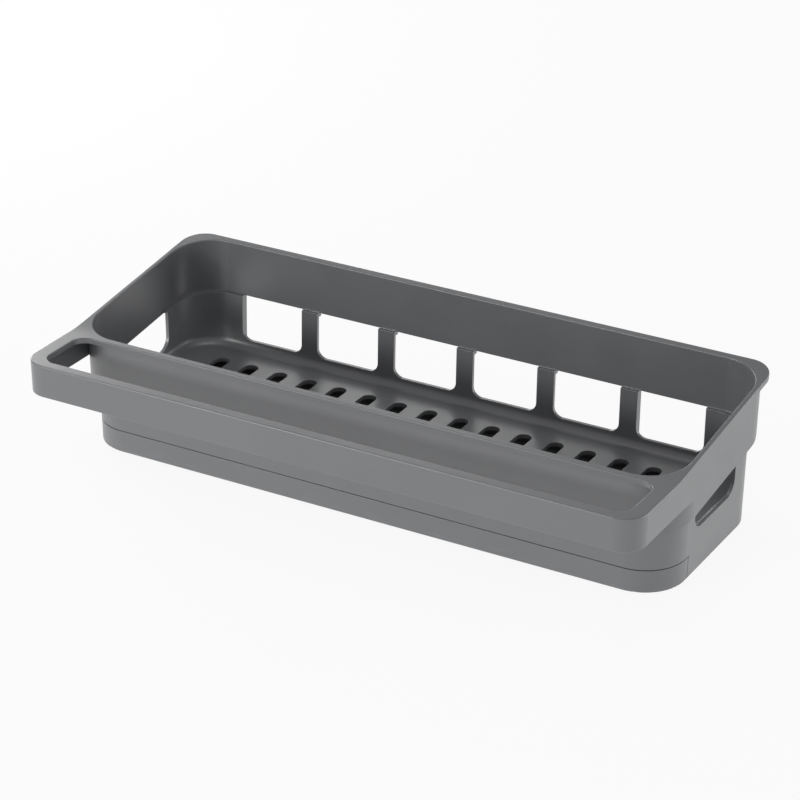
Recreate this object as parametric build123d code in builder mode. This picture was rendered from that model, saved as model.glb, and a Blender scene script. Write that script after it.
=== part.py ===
"""Kitchen sink caddy: a long basket with a towel rail, and a drip tray that pulls out to the front.

Millimetres. The origin is on the worktop, under the middle of the caddy. +X runs along the
length, -Y points to the front, where the towel rail is, and +Z is up.
"""
import math
import os

from build123d import *

# Overall size
length = 315.0
depth = 147.0
front_height = 60.0
back_height = 73.4

# Moulding
wall = 2.4
lower_wall = 1.8
draft = 1.0
overrun = 5.0
running_gap = 0.4

# Rim, level over the rail and then rising to the back
level_depth = 43.4
rim_bend_radius = 80.0
rim_plate = 2.7
rim_edge_radius = 0.5
lip_overhang = 1.3
lip_corner_radius = 12.4

# Towel rail
rail_reach = 38.0
rail_height = 16.2
rail_corner_radius = 11.4
rail_strip = 5.6
rail_end_strip = 7.8
towel_slot_back_strip = 1.4
towel_slot_corner_radius = 7.0

# Upper band of the basket, and the step in to the lower wall
band_height = 28.0
band_corner_radius = 22.6
step_in = 3.1
back_step_in = 2.2
step_lap = 1.2
lower_corner_radius = 21.7

# Floor and its drain slots
floor_top = 17.7
floor_thickness = 2.2
floor_corner_radius = 4.5
drain_count = 16
drain_width = 7.6
drain_end_margin = 27.0
drain_side_margin = 18.5

# Windows
window_sill = 22.5
back_window_count = 6
back_window_end_margin = 31.4
back_window_post = 8.9
back_window_corner_radius = 5.0
back_rib_width = 2.0
end_window_width = 43.2
end_window_corner_radius = 7.0

# Skirt under the floor, with a shelf that carries the tray
shelf_width = 13.0
shelf_thickness = 2.2
guide_rib_width = 1.8
guide_rib_margin = 5.0

# Drip tray
panel_height = 11.5
panel_return = 24.0
tray_lift = 0.3
tray_side_gap = 0.8
tray_back_gap = 1.0
tray_wall = 1.8
tray_rim_drop = 0.6
tray_corner_radius = 2.0
base_edge_radius = 0.6

# Feet
foot_diameter = 8.0
foot_thickness = 1.5
foot_proud = 0.7
foot_edge_radius = 0.3
foot_pocket_gap = 0.15
foot_front_margin = 17.0
foot_back_margin = 12.0

# Places that follow from the sizes above
draft_rate = math.tan(math.radians(draft))
front_edge = -depth / 2
back_edge = depth / 2
basket_front = front_edge + rail_reach
base = foot_proud
seam_height = base + panel_height
rail_bottom = front_height - rail_height
floor_bottom = floor_top - floor_thickness
ceiling = back_height + overrun


def half_at(height):
    """Half the outer length of the upper band at a height."""
    return length / 2 - (back_height - height) * draft_rate


def rail_front_at(height):
    """Outer face of the towel rail at a height."""
    return front_edge + (front_height - height) * draft_rate


def basket_front_at(height):
    """Outer face of the basket's front wall at a height."""
    return basket_front + (front_height - height) * draft_rate


def back_at(height):
    """Outer face of the basket's back wall at a height."""
    return back_edge - lip_overhang - (back_height - height) * draft_rate


def outline(height, front, inset, front_radius, back_radius, back_shift=0.0):
    """Rounded outline at a height, set in from the band's outer faces."""
    half = half_at(height) - inset
    back = back_at(height) - inset + back_shift
    with BuildSketch(Plane.XY.offset(height)) as sketch:
        with Locations((0, (front + back) / 2)):
            Rectangle(2 * half, back - front)
        fillet(sketch.vertices().group_by(Axis.Y)[0], radius=front_radius)
        fillet(sketch.vertices().group_by(Axis.Y)[-1], radius=back_radius)
    return sketch.sketch


def band_outline(height, inset):
    """Outline of the upper band at a height, set in from its outer face."""
    front = basket_front_at(height) + inset
    radius = band_corner_radius - inset + (height - front_height) * draft_rate
    return outline(height, front, inset, radius, radius)


def lower_outline(height, inset):
    """Outline of the lower wall at a height, set in from its outer face."""
    front = basket_front_at(height) + step_in + inset
    radius = lower_corner_radius - inset + (height - front_height) * draft_rate
    return outline(height, front, step_in + inset, radius, radius, step_in - back_step_in)


def rim_side(drop, above):
    """Side view of the space above or below the rim, which is lowered by a drop."""
    slope = (back_height - front_height) / (depth - level_depth)
    bend = front_edge + level_depth
    far = depth + overrun
    low = front_height - drop
    high = low + slope * (far - bend)
    limit = ceiling + overrun if above else -overrun
    with BuildSketch(Plane.YZ) as sketch:
        with BuildLine():
            FilletPolyline((-far, low), (bend, low), (far, high), radius=rim_bend_radius)
            Polyline((far, high), (far, limit), (-far, limit), (-far, low))
        make_face()
    return sketch.sketch


def side_block(sketch):
    """Carry a side view across the whole length, and past both ends."""
    with BuildPart() as block:
        extrude(sketch, amount=length / 2 + overrun, both=True)
    return block.part


def border_edges(faces):
    """Edges that belong to only one of the faces."""
    edges = [edge for face in faces for edge in face.edges()]
    return ShapeList(edge for edge in edges if sum(edge.is_same(other) for other in edges) == 1)


above_rim = side_block(rim_side(0, True))
above_plate = side_block(rim_side(rim_plate, True))
below_plate = side_block(rim_side(rim_plate, False))
above_ledge = side_block(rim_side(band_height - step_lap, True))
above_band_foot = side_block(rim_side(band_height, True))
below_band = side_block(rim_side(band_height, False))

# Hollow under the rim plate, inside the rail's outer wall
with BuildPart() as rail_hollow:
    hollow_front = rail_front_at(back_height) + wall
    hollow_outline = outline(
        back_height, hollow_front, wall, rail_corner_radius - wall, band_corner_radius - wall
    )
    extrude(hollow_outline, amount=back_height, dir=(0, 0, -1), taper=draft)
    add(above_plate, mode=Mode.SUBTRACT)

# Inside of the upper band
with BuildPart() as band_hollow:
    extrude(band_outline(ceiling, wall), amount=ceiling, dir=(0, 0, -1), taper=draft)

# Inside of the lower wall, rounded where it meets the floor
with BuildPart() as floor_hollow:
    fill_outline = lower_outline(ceiling, lower_wall)
    extrude(fill_outline, amount=ceiling - floor_top, dir=(0, 0, -1), taper=draft)
    fillet(floor_hollow.edges().group_by(Axis.Z)[0], radius=floor_corner_radius)

# Space under the floor, where the tray goes
with BuildPart() as skirt_hollow:
    skirt_outline = lower_outline(floor_bottom, lower_wall)
    extrude(skirt_outline, amount=floor_bottom, dir=(0, 0, -1), taper=draft)

# Lip that stands out behind the back wall
with BuildPart() as back_lip:
    lip_outline = outline(
        back_height, basket_front, 0, band_corner_radius, lip_corner_radius, lip_overhang
    )
    extrude(lip_outline, amount=back_height, dir=(0, 0, -1), taper=draft)
    add(above_rim, mode=Mode.SUBTRACT)
    add(below_plate, mode=Mode.SUBTRACT)

# Web that carries the lower wall inside the foot of the band
with BuildPart() as ledge:
    extrude(band_outline(ceiling, 0), amount=ceiling, dir=(0, 0, -1), taper=draft)
    add(above_ledge, mode=Mode.SUBTRACT)
    add(below_band, mode=Mode.SUBTRACT)

# Back windows, which run up through the foot of the band to the ledge
with BuildPart() as back_windows:
    window_top = back_height
    window_middle = (window_sill + window_top) / 2
    back_window_start = back_at(base) - back_step_in - lower_corner_radius
    back_window_pitch = (
        length - 2 * back_window_end_margin + back_window_post
    ) / back_window_count
    back_window_width = back_window_pitch - back_window_post
    with BuildSketch(Plane.XZ.offset(-back_window_start)) as back_window_row:
        with Locations((0, window_middle)):
            with GridLocations(back_window_pitch, 0, back_window_count, 1):
                Rectangle(back_window_width, window_top - window_sill)
        fillet(back_window_row.vertices().group_by(Axis.Y)[0], radius=back_window_corner_radius)
    extrude(amount=-depth)
    add(above_ledge, mode=Mode.SUBTRACT)

# End windows, which run up to the foot of the band, and behind it to the ledge
with BuildPart() as end_window_reach:
    with BuildSketch(Plane.YZ) as end_window:
        with Locations(((basket_front_at(base) + back_at(base)) / 2, window_middle)):
            Rectangle(end_window_width, window_top - window_sill)
        fillet(end_window.vertices().group_by(Axis.Y)[0], radius=end_window_corner_radius)
    extrude(amount=length, both=True)
    add(above_ledge, mode=Mode.SUBTRACT)

with BuildPart() as end_windows_behind_band:
    add(end_window_reach.part)
    add(band_hollow.part, mode=Mode.INTERSECT)

with BuildPart() as end_windows:
    add(end_window_reach.part)
    add(above_band_foot, mode=Mode.SUBTRACT)

# Upright ribs on the back wall beside its two outer windows, flush with the band
with BuildPart() as back_ribs:
    extrude(band_outline(ceiling, 0), amount=ceiling, dir=(0, 0, -1), taper=draft)
    rib_reach = back_edge - back_window_start
    with BuildSketch(Plane.XY.offset(base + base_edge_radius)) as rib_places:
        with Locations((0, back_window_start + rib_reach / 2)):
            with GridLocations(back_window_pitch * (back_window_count - 1), 0, 2, 1):
                with GridLocations(back_window_width + back_rib_width, 0, 2, 1):
                    Rectangle(back_rib_width, rib_reach)
    extrude(amount=back_height, mode=Mode.INTERSECT)
    add(above_ledge, mode=Mode.SUBTRACT)

# The basket is one moulding: rim plate, towel rail and upper band first
with BuildPart() as rail:
    rail_outline = outline(
        ceiling, rail_front_at(ceiling), 0, rail_corner_radius, band_corner_radius
    )
    extrude(rail_outline, amount=ceiling - rail_bottom, dir=(0, 0, -1), taper=draft)
    fillet(rail.edges().group_by(Axis.Z)[0], radius=rim_edge_radius)
    add(rail_hollow.part, mode=Mode.SUBTRACT)

with BuildPart() as band:
    extrude(band_outline(ceiling, 0), amount=ceiling, dir=(0, 0, -1), taper=draft)
    add(below_band, mode=Mode.SUBTRACT)
    band_foot = band.faces().filter_by(lambda face: face.bounding_box().max.Z < front_height)
    fillet(border_edges(band_foot), radius=rim_edge_radius)

with BuildPart() as basket:
    add(rail.part)
    add(band.part)
    add(above_rim, mode=Mode.SUBTRACT)
    add(back_lip.part)
    add(band_hollow.part, mode=Mode.SUBTRACT)
    slot_front = front_edge + rail_strip
    slot_back = basket_front - towel_slot_back_strip
    with BuildSketch(Plane.XY.offset(rail_bottom)) as towel_slot:
        with Locations((0, (slot_front + slot_back) / 2)):
            RectangleRounded(
                length - 2 * rail_end_strip, slot_back - slot_front, towel_slot_corner_radius
            )
    extrude(amount=rail_height + overrun, mode=Mode.SUBTRACT)

# Places for the skirt and the tray
shelf_top = base + shelf_thickness
tray_bottom = shelf_top + tray_lift
tray_top = seam_height - tray_rim_drop
panel_end = basket_front_at(seam_height) + step_in + panel_return
skirt_front = basket_front_at(base) + step_in
skirt_back = back_at(base) - back_step_in
skirt_half = half_at(base) - step_in
pan_half = skirt_half - lower_wall - tray_side_gap
pan_back = skirt_back - lower_wall - tray_back_gap

# Lower wall, floor and the skirt that stands on the worktop
with BuildPart() as lower:
    extrude(lower_outline(ceiling, 0), amount=ceiling - base, dir=(0, 0, -1), taper=draft)
    fillet(lower.edges().group_by(Axis.Z)[0], radius=base_edge_radius)
    add(above_ledge, mode=Mode.SUBTRACT)
    add(ledge.part)
    add(back_ribs.part)
    add(floor_hollow.part, mode=Mode.SUBTRACT)
    add(skirt_hollow.part, mode=Mode.SUBTRACT)
    # Shelf along both ends and the back
    with BuildSketch(Plane.XY.offset(base + base_edge_radius)) as shelf:
        add(lower_outline(base, 0))
        with Locations((0, skirt_back - shelf_width - depth / 2)):
            Rectangle(2 * (skirt_half - shelf_width), depth, mode=Mode.SUBTRACT)
    extrude(amount=shelf_thickness - base_edge_radius)
    # Ribs over the tray's side walls, so that it can't tip while it is pulled out
    rib_front = panel_end + guide_rib_margin
    rib_back = pan_back - lower_corner_radius
    rib_root = floor_bottom + floor_thickness / 2
    with BuildSketch(Plane.XY.offset(rib_root)) as ribs:
        with Locations((0, (rib_front + rib_back) / 2)):
            with GridLocations(2 * pan_half - tray_wall, 0, 2, 1):
                Rectangle(guide_rib_width, rib_back - rib_front)
    extrude(amount=rib_root - tray_top - running_gap, dir=(0, 0, -1))
    # Room for the tray's front, which wraps round both front corners
    with BuildSketch(Plane.XY.offset(-overrun)) as front_room:
        with Locations((0, panel_end - depth / 2)):
            Rectangle(length, depth)
    extrude(amount=seam_height + overrun, mode=Mode.SUBTRACT)
    # The shelf's two runners go on under the tray, almost to its front
    with BuildSketch(Plane.XY.offset(base)) as runners:
        add(lower_outline(base, lower_wall + tray_side_gap))
        with Locations((0, skirt_back - shelf_width - depth / 2)):
            Rectangle(2 * (skirt_half - shelf_width), depth, mode=Mode.SUBTRACT)
    extrude(amount=shelf_thickness)
    # Drain slots
    with BuildSketch(Plane.XY.offset(floor_bottom - floor_thickness)) as drains:
        drain_front = basket_front_at(floor_top) + drain_side_margin
        drain_back = back_at(floor_top) - drain_side_margin
        drain_pitch = (length - 2 * drain_end_margin - drain_width) / (drain_count - 1)
        with Locations((0, (drain_front + drain_back) / 2)):
            with GridLocations(drain_pitch, 0, drain_count, 1):
                SlotOverall(drain_back - drain_front, drain_width, rotation=90)
    extrude(amount=2 * floor_thickness + floor_corner_radius, mode=Mode.SUBTRACT)
    add(end_windows.part, mode=Mode.SUBTRACT)
    add(end_windows_behind_band.part, mode=Mode.SUBTRACT)

# Feet sit in shallow pockets under the runners and the shelf
foot_radius = foot_diameter / 2
foot_side = (pan_half + skirt_half - shelf_width) / 2
foot_front = skirt_front + foot_front_margin
foot_back = skirt_back - foot_back_margin
foot_places = {
    "foot_front_left": (-foot_side, foot_front),
    "foot_front_right": (foot_side, foot_front),
    "foot_back_left": (-foot_side, foot_back),
    "foot_back_right": (foot_side, foot_back),
}

with basket:
    add(lower.part)
    add(back_windows.part, mode=Mode.SUBTRACT)
    with BuildSketch(Plane.XY.offset(-overrun)) as foot_pockets:
        with Locations(*foot_places.values()):
            Circle(foot_radius + foot_pocket_gap)
    extrude(amount=overrun + foot_thickness, mode=Mode.SUBTRACT)
    rim_faces = basket.faces().filter_by(
        lambda face: face.bounding_box().min.Z > front_height - rim_edge_radius
        and face.normal_at().Z > 0
    )
    fillet(border_edges(rim_faces), radius=rim_edge_radius)

# Inside of the tray: wide behind its front, narrower in the pan
with BuildPart() as tray_hollow:
    pan_floor = tray_bottom + tray_wall
    panel_back = panel_end - running_gap
    hollow_bend = panel_back - lower_wall
    with BuildSketch(Plane.XY.offset(pan_floor)) as tray_room:
        add(lower_outline(pan_floor, lower_wall))
        with Locations((0, hollow_bend + depth / 2)):
            Rectangle(length, depth, mode=Mode.SUBTRACT)
        with Locations((0, (hollow_bend + pan_back - tray_wall) / 2)):
            Rectangle(2 * (pan_half - tray_wall), pan_back - tray_wall - hollow_bend)
        fillet(
            tray_room.vertices().group_by(Axis.Y)[-1],
            radius=lower_corner_radius - lower_wall - tray_wall,
        )
    extrude(amount=seam_height)
    fillet(tray_hollow.edges().group_by(Axis.Z)[0], radius=tray_corner_radius)

# Drip tray: a front that wraps round both corners, and the pan behind it
with BuildPart() as drip_tray:
    panel_top = seam_height - running_gap
    extrude(lower_outline(panel_top, 0), amount=panel_top - base, dir=(0, 0, -1), taper=draft)
    fillet(drip_tray.edges().group_by(Axis.Z)[0], radius=base_edge_radius)
    with BuildSketch(Plane.XY) as behind_panel:
        with Locations((0, panel_back + depth / 2)):
            Rectangle(length, depth)
    extrude(amount=seam_height, mode=Mode.SUBTRACT)
    panel_inside = lower_outline(tray_bottom, lower_wall)
    extrude(panel_inside, amount=tray_bottom, dir=(0, 0, -1), taper=draft, mode=Mode.SUBTRACT)
    with BuildSketch(Plane.XY.offset(tray_bottom)) as pan:
        with Locations((0, (hollow_bend + pan_back) / 2)):
            Rectangle(2 * pan_half, pan_back - hollow_bend)
        fillet(pan.vertices().group_by(Axis.Y)[-1], radius=lower_corner_radius - lower_wall)
    extrude(amount=tray_top - tray_bottom)
    add(tray_hollow.part, mode=Mode.SUBTRACT)

os.makedirs("parts", exist_ok=True)
basket.part.label = "basket"
export_step(basket.part, "parts/basket.step")
drip_tray.part.label = "drip_tray"
export_step(drip_tray.part, "parts/drip_tray.step")

for foot_name, foot_place in foot_places.items():
    with BuildPart(Location((*foot_place, 0))) as foot:
        Cylinder(foot_radius, foot_thickness, align=(Align.CENTER, Align.CENTER, Align.MIN))
        fillet(foot.edges().group_by(Axis.Z)[0], radius=foot_edge_radius)
    foot.part.label = foot_name
    export_step(foot.part, f"parts/{foot_name}.step")
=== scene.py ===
"""Kitchen sink caddy on a pale table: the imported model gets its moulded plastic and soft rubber.

Metres. The origin is on the worktop, under the middle of the caddy. +X runs along the length,
-Y points to the front, where the towel rail is, and +Z is up.
"""
import math

import bmesh
import bpy
from mathutils import Matrix, Vector

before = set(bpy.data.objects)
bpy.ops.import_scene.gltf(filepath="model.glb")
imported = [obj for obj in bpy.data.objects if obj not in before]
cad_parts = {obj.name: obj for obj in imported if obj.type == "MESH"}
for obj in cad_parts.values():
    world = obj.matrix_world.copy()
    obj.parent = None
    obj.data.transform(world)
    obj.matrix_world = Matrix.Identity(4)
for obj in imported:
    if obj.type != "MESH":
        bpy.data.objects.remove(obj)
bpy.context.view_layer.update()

# Camera
# It stands at the front right, a good metre away and above the rim, with the long lens that
# the photograph's nearly parallel edges ask for.
camera_place = Vector((0.58218, -1.0269, 0.62006))
camera_turn = math.radians(29.433)
camera_dip = math.radians(25.869)
camera_roll = math.radians(-0.407)
lens_mm = 128.29
film_width_mm = 36
nearest_seen = 0.05
forward = Vector(
    (
        -math.sin(camera_turn) * math.cos(camera_dip),
        math.cos(camera_turn) * math.cos(camera_dip),
        -math.sin(camera_dip),
    )
)
level_right = Vector((math.cos(camera_turn), math.sin(camera_turn), 0))
level_up = level_right.cross(forward)
camera_right = level_right * math.cos(camera_roll) - level_up * math.sin(camera_roll)
camera_up = level_up * math.cos(camera_roll) + level_right * math.sin(camera_roll)
camera_data = bpy.data.cameras.new("camera")
camera_data.sensor_width = film_width_mm
camera_data.lens = lens_mm
camera_data.clip_start = nearest_seen
camera = bpy.data.objects.new("camera", camera_data)
bpy.context.scene.collection.objects.link(camera)
camera.matrix_world = Matrix.Translation(camera_place) @ (
    Matrix((camera_right, camera_up, -forward)).transposed().to_4x4()
)
bpy.context.scene.camera = camera
bpy.context.scene.view_settings.view_transform = "Standard"

# Table
# A plain white sheet of card, larger than the view, that the caddy stands on. It keeps the
# caddy's soft shadow, while the lens and the gloss on the plastic see most of it as plain white.
table_half = 3.0
table_white = 0.92
table_roughness = 0.9
table_gloss = 0.1
seen_white_share = 0.9
table_mesh = bpy.data.meshes.new("table")
shape = bmesh.new()
bmesh.ops.create_grid(shape, x_segments=1, y_segments=1, size=table_half)
shape.to_mesh(table_mesh)
shape.free()
table = bpy.data.objects.new("table", table_mesh)
bpy.context.scene.collection.objects.link(table)

card = bpy.data.materials.new("white_card")
card.use_nodes = True
card_nodes = card.node_tree.nodes
card_links = card.node_tree.links
card_shader = card_nodes["Principled BSDF"]
card_shader.inputs["Base Color"].default_value = (table_white, table_white, table_white, 1)
card_shader.inputs["Roughness"].default_value = table_roughness
card_shader.inputs["Specular IOR Level"].default_value = table_gloss
card_white = card_nodes.new("ShaderNodeEmission")
card_white.inputs["Strength"].default_value = 1.0
card_ray = card_nodes.new("ShaderNodeLightPath")
# the lens sees this share of plain white, and gloss and clear things see all of it
card_seen = card_nodes.new("ShaderNodeMath")
card_seen.operation = "MULTIPLY"
card_seen.inputs[1].default_value = seen_white_share
card_links.new(card_ray.outputs["Is Camera Ray"], card_seen.inputs[0])
card_gloss = card_nodes.new("ShaderNodeMath")
card_gloss.operation = "MAXIMUM"
card_links.new(card_ray.outputs["Is Glossy Ray"], card_gloss.inputs[0])
card_links.new(card_ray.outputs["Is Transmission Ray"], card_gloss.inputs[1])
card_share = card_nodes.new("ShaderNodeMath")
card_share.operation = "MAXIMUM"
card_links.new(card_seen.outputs[0], card_share.inputs[0])
card_links.new(card_gloss.outputs[0], card_share.inputs[1])
card_mix = card_nodes.new("ShaderNodeMixShader")
card_links.new(card_share.outputs[0], card_mix.inputs[0])
card_links.new(card_shader.outputs[0], card_mix.inputs[1])
card_links.new(card_white.outputs[0], card_mix.inputs[2])
card_links.new(card_mix.outputs[0], card_nodes["Material Output"].inputs["Surface"])
table_mesh.materials.append(card)

# Light
# A white room at a low level, and soft panels that stand low round the caddy, so that its outer
# walls are lit more than its inside. None stands on the camera's side, which leaves the rounded
# corner there a little darker. A small one behind throws soft patches through the windows, and
# one above lifts the rim and the floor.
room_level = 0.38
seen_room_level = 0.97
room = bpy.data.worlds.new("white_room")
room.use_nodes = True
bpy.context.scene.world = room
room_nodes = room.node_tree.nodes
room_links = room.node_tree.links
room_light = room_nodes["Background"]
room_light.inputs["Color"].default_value = (1, 1, 1, 1)
room_light.inputs["Strength"].default_value = room_level
seen_light = room_nodes.new("ShaderNodeBackground")
seen_light.inputs["Color"].default_value = (1, 1, 1, 1)
seen_light.inputs["Strength"].default_value = seen_room_level
room_ray = room_nodes.new("ShaderNodeLightPath")
room_pick = room_nodes.new("ShaderNodeMixShader")
room_links.new(room_ray.outputs["Is Camera Ray"], room_pick.inputs[0])
room_links.new(room_light.outputs[0], room_pick.inputs[1])
room_links.new(seen_light.outputs[0], room_pick.inputs[2])
room_links.new(room_pick.outputs[0], room_nodes["World Output"].inputs["Surface"])

panel_aim = Vector((0, 0, 0.03))
for panel_name, panel_place, panel_width, panel_height, watts in (
    ("panel_front_left", (-0.85, -0.9, 0.26), 0.7, 0.26, 1.7),
    ("panel_front", (-0.48, -1.0, 0.3), 0.45, 0.14, 4.3),
    ("panel_right_back", (1.0, 0.75, 0.22), 0.9, 0.4, 2.8),
    ("panel_right", (0.68, 0.16, 0.1), 0.3, 0.16, 0.42),
    ("panel_left_back", (-0.9, 0.9, 0.27), 0.9, 0.45, 2.8),
    ("panel_left", (-0.7, 0.35, 0.25), 0.4, 0.3, 1.3),
    ("panel_behind", (-0.5, 1.0, 0.42), 0.2, 0.2, 0.22),
    ("panel_above", (0, 0.1, 1.3), 0.6, 0.6, 1.5),
):
    panel_data = bpy.data.lights.new(panel_name, "AREA")
    panel_data.shape = "RECTANGLE"
    panel_data.size = panel_width
    panel_data.size_y = panel_height
    panel_data.energy = watts
    panel = bpy.data.objects.new(panel_name, panel_data)
    bpy.context.scene.collection.objects.link(panel)
    panel.location = panel_place
    panel.rotation_euler = (panel_aim - Vector(panel_place)).to_track_quat("-Z", "Y").to_euler()
    panel.visible_camera = False

# Basket and drip tray
# Both are moulded in the same mid grey plastic, from tools with a fine even spark finish that
# leaves the faces satin. Hands have polished the rail a little, and grit has scuffed the base.
grey = (0.14, 0.143, 0.15)
darkest_shade, palest_shade, scuffed_shade = 0.93, 1.07, 1.5
satin_smooth, satin_rough = 0.32, 0.4
rail_polish = 0.03
scuff_roughness = 0.25
# hands hold the rail in front of the first Y, and its polish is full from the second
rail_from, rail_full = -0.056, -0.07
# scuffs fade out between these two heights
scuffs_full, scuffs_end = 0.001, 0.007
soft_edge = 0.0003
grain_depth = 0.00001


def noise(material, pattern_place, scale, detail):
    """A noise pattern whose marks are about 1 / scale of a metre in size."""
    pattern = material.node_tree.nodes.new("ShaderNodeTexNoise")
    pattern.inputs["Scale"].default_value = scale
    pattern.inputs["Detail"].default_value = detail
    material.node_tree.links.new(pattern_place, pattern.inputs["Vector"])
    return pattern


def spread(material, value, value_range, result_range):
    """Turn the values of one range into those of another, and hold them at its ends."""
    change = material.node_tree.nodes.new("ShaderNodeMapRange")
    change.inputs["From Min"].default_value, change.inputs["From Max"].default_value = value_range
    change.inputs["To Min"].default_value, change.inputs["To Max"].default_value = result_range
    material.node_tree.links.new(value, change.inputs["Value"])
    return change.outputs["Result"]


def combined(material, operation, *values):
    """One number made from others by a sum or a product; each is a link or a plain number."""
    result = material.node_tree.nodes.new("ShaderNodeMath")
    result.operation = operation
    for entry, value in zip(result.inputs, values):
        if isinstance(value, bpy.types.NodeSocket):
            material.node_tree.links.new(value, entry)
        else:
            entry.default_value = value
    return result.outputs[0]


def moulded_plastic(name, seed):
    """Satin moulded plastic with a fine grain, faint flow shades and a little wear."""
    material = bpy.data.materials.new(name)
    material.use_nodes = True
    nodes = material.node_tree.nodes
    links = material.node_tree.links
    shader = nodes["Principled BSDF"]
    shader.inputs["IOR"].default_value = 1.6
    shader.inputs["Specular IOR Level"].default_value = 0.95
    place = nodes.new("ShaderNodeTexCoord")
    # each moulding gets its own stretch of the patterns
    shift = nodes.new("ShaderNodeMapping")
    shift.inputs["Location"].default_value = (seed, seed / 2, -seed)
    links.new(place.outputs["Object"], shift.inputs["Vector"])
    shifted = shift.outputs[0]

    # slow shades where the melt flowed, and fine specks of pigment
    flow = noise(material, shifted, 9, 3)
    flow.inputs["Distortion"].default_value = 0.6
    specks = noise(material, shifted, 1400, 2)
    shades = combined(
        material, "MULTIPLY_ADD", specks.outputs["Fac"], 0.35, flow.outputs["Fac"]
    )
    tint = nodes.new("ShaderNodeValToRGB")
    dark_end, pale_end = tint.color_ramp.elements
    dark_end.position, pale_end.position = 0.45, 0.9
    dark_end.color = (*(part * darkest_shade for part in grey), 1)
    pale_end.color = (*(part * palest_shade for part in grey), 1)
    links.new(shades, tint.inputs["Fac"])

    # pale scuffs just above the worktop, drawn out sideways as the base slides on grit
    where = nodes.new("ShaderNodeSeparateXYZ")
    links.new(place.outputs["Object"], where.inputs[0])
    low = spread(material, where.outputs["Z"], (scuffs_end, scuffs_full), (0, 1))
    drawn_out = nodes.new("ShaderNodeMapping")
    drawn_out.inputs["Scale"].default_value = (60, 60, 1100)
    links.new(shifted, drawn_out.inputs["Vector"])
    streaks = noise(material, drawn_out.outputs[0], 1, 4)
    strong = spread(material, streaks.outputs["Fac"], (0.5, 0.75), (0, 1))
    scuffs = combined(material, "MULTIPLY", strong, low)
    worn = nodes.new("ShaderNodeMix")
    worn.data_type = "RGBA"
    worn.inputs["B"].default_value = (*(part * scuffed_shade for part in grey), 1)
    links.new(scuffs, worn.inputs["Factor"])
    links.new(tint.outputs["Color"], worn.inputs["A"])
    links.new(worn.outputs["Result"], shader.inputs["Base Color"])

    # the finish is a little uneven, smoother along the rail and duller in the scuffs
    rubbed = noise(material, shifted, 34, 5)
    rubbed.inputs["Roughness"].default_value = 0.62
    satin = spread(material, rubbed.outputs["Fac"], (0.3, 0.7), (satin_smooth, satin_rough))
    polish = spread(material, where.outputs["Y"], (rail_from, rail_full), (0, -rail_polish))
    handled = combined(material, "ADD", satin, polish)
    dulled = combined(material, "MULTIPLY_ADD", scuffs, scuff_roughness, handled)
    links.new(dulled, shader.inputs["Roughness"])

    # edges a little softer than the drawing's, and the fine spark grain of the tool
    softened = nodes.new("ShaderNodeBevel")
    softened.samples = 6
    softened.inputs["Radius"].default_value = soft_edge
    grain = noise(material, shifted, 2600, 3)
    bump = nodes.new("ShaderNodeBump")
    bump.inputs["Strength"].default_value = 0.1
    bump.inputs["Distance"].default_value = grain_depth
    links.new(grain.outputs["Fac"], bump.inputs["Height"])
    links.new(softened.outputs["Normal"], bump.inputs["Normal"])
    links.new(bump.outputs["Normal"], shader.inputs["Normal"])
    return material


for node_name, seed in (("basket", 0.0), ("drip_tray", 3.7)):
    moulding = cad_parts[node_name]
    moulding.data.materials.clear()
    moulding.data.materials.append(moulded_plastic(node_name + "_plastic", seed))

# Feet
# Four soft rubber pads, glued into shallow pockets under the corners so that the wet caddy
# stays put while its tray is pulled out.
rubber_black = (0.028, 0.028, 0.03)
rubber_smooth, rubber_rough = 0.7, 0.9
rubber_grain_depth = 0.0001
rubber = bpy.data.materials.new("foot_rubber")
rubber.use_nodes = True
rubber_nodes = rubber.node_tree.nodes
rubber_links = rubber.node_tree.links
rubber_shader = rubber_nodes["Principled BSDF"]
rubber_shader.inputs["Base Color"].default_value = (*rubber_black, 1)
rubber_shader.inputs["Specular IOR Level"].default_value = 0.35
rubber_place = rubber_nodes.new("ShaderNodeTexCoord")
rubber_dust = noise(rubber, rubber_place.outputs["Object"], 900, 4)
rubber_finish = spread(
    rubber, rubber_dust.outputs["Fac"], (0, 1), (rubber_smooth, rubber_rough)
)
rubber_links.new(rubber_finish, rubber_shader.inputs["Roughness"])
rubber_bump = rubber_nodes.new("ShaderNodeBump")
rubber_bump.inputs["Strength"].default_value = 0.3
rubber_bump.inputs["Distance"].default_value = rubber_grain_depth
rubber_links.new(rubber_dust.outputs["Fac"], rubber_bump.inputs["Height"])
rubber_links.new(rubber_bump.outputs["Normal"], rubber_shader.inputs["Normal"])
for foot_name in ("foot_front_left", "foot_front_right", "foot_back_left", "foot_back_right"):
    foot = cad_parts[foot_name]
    foot.data.materials.clear()
    foot.data.materials.append(rubber)
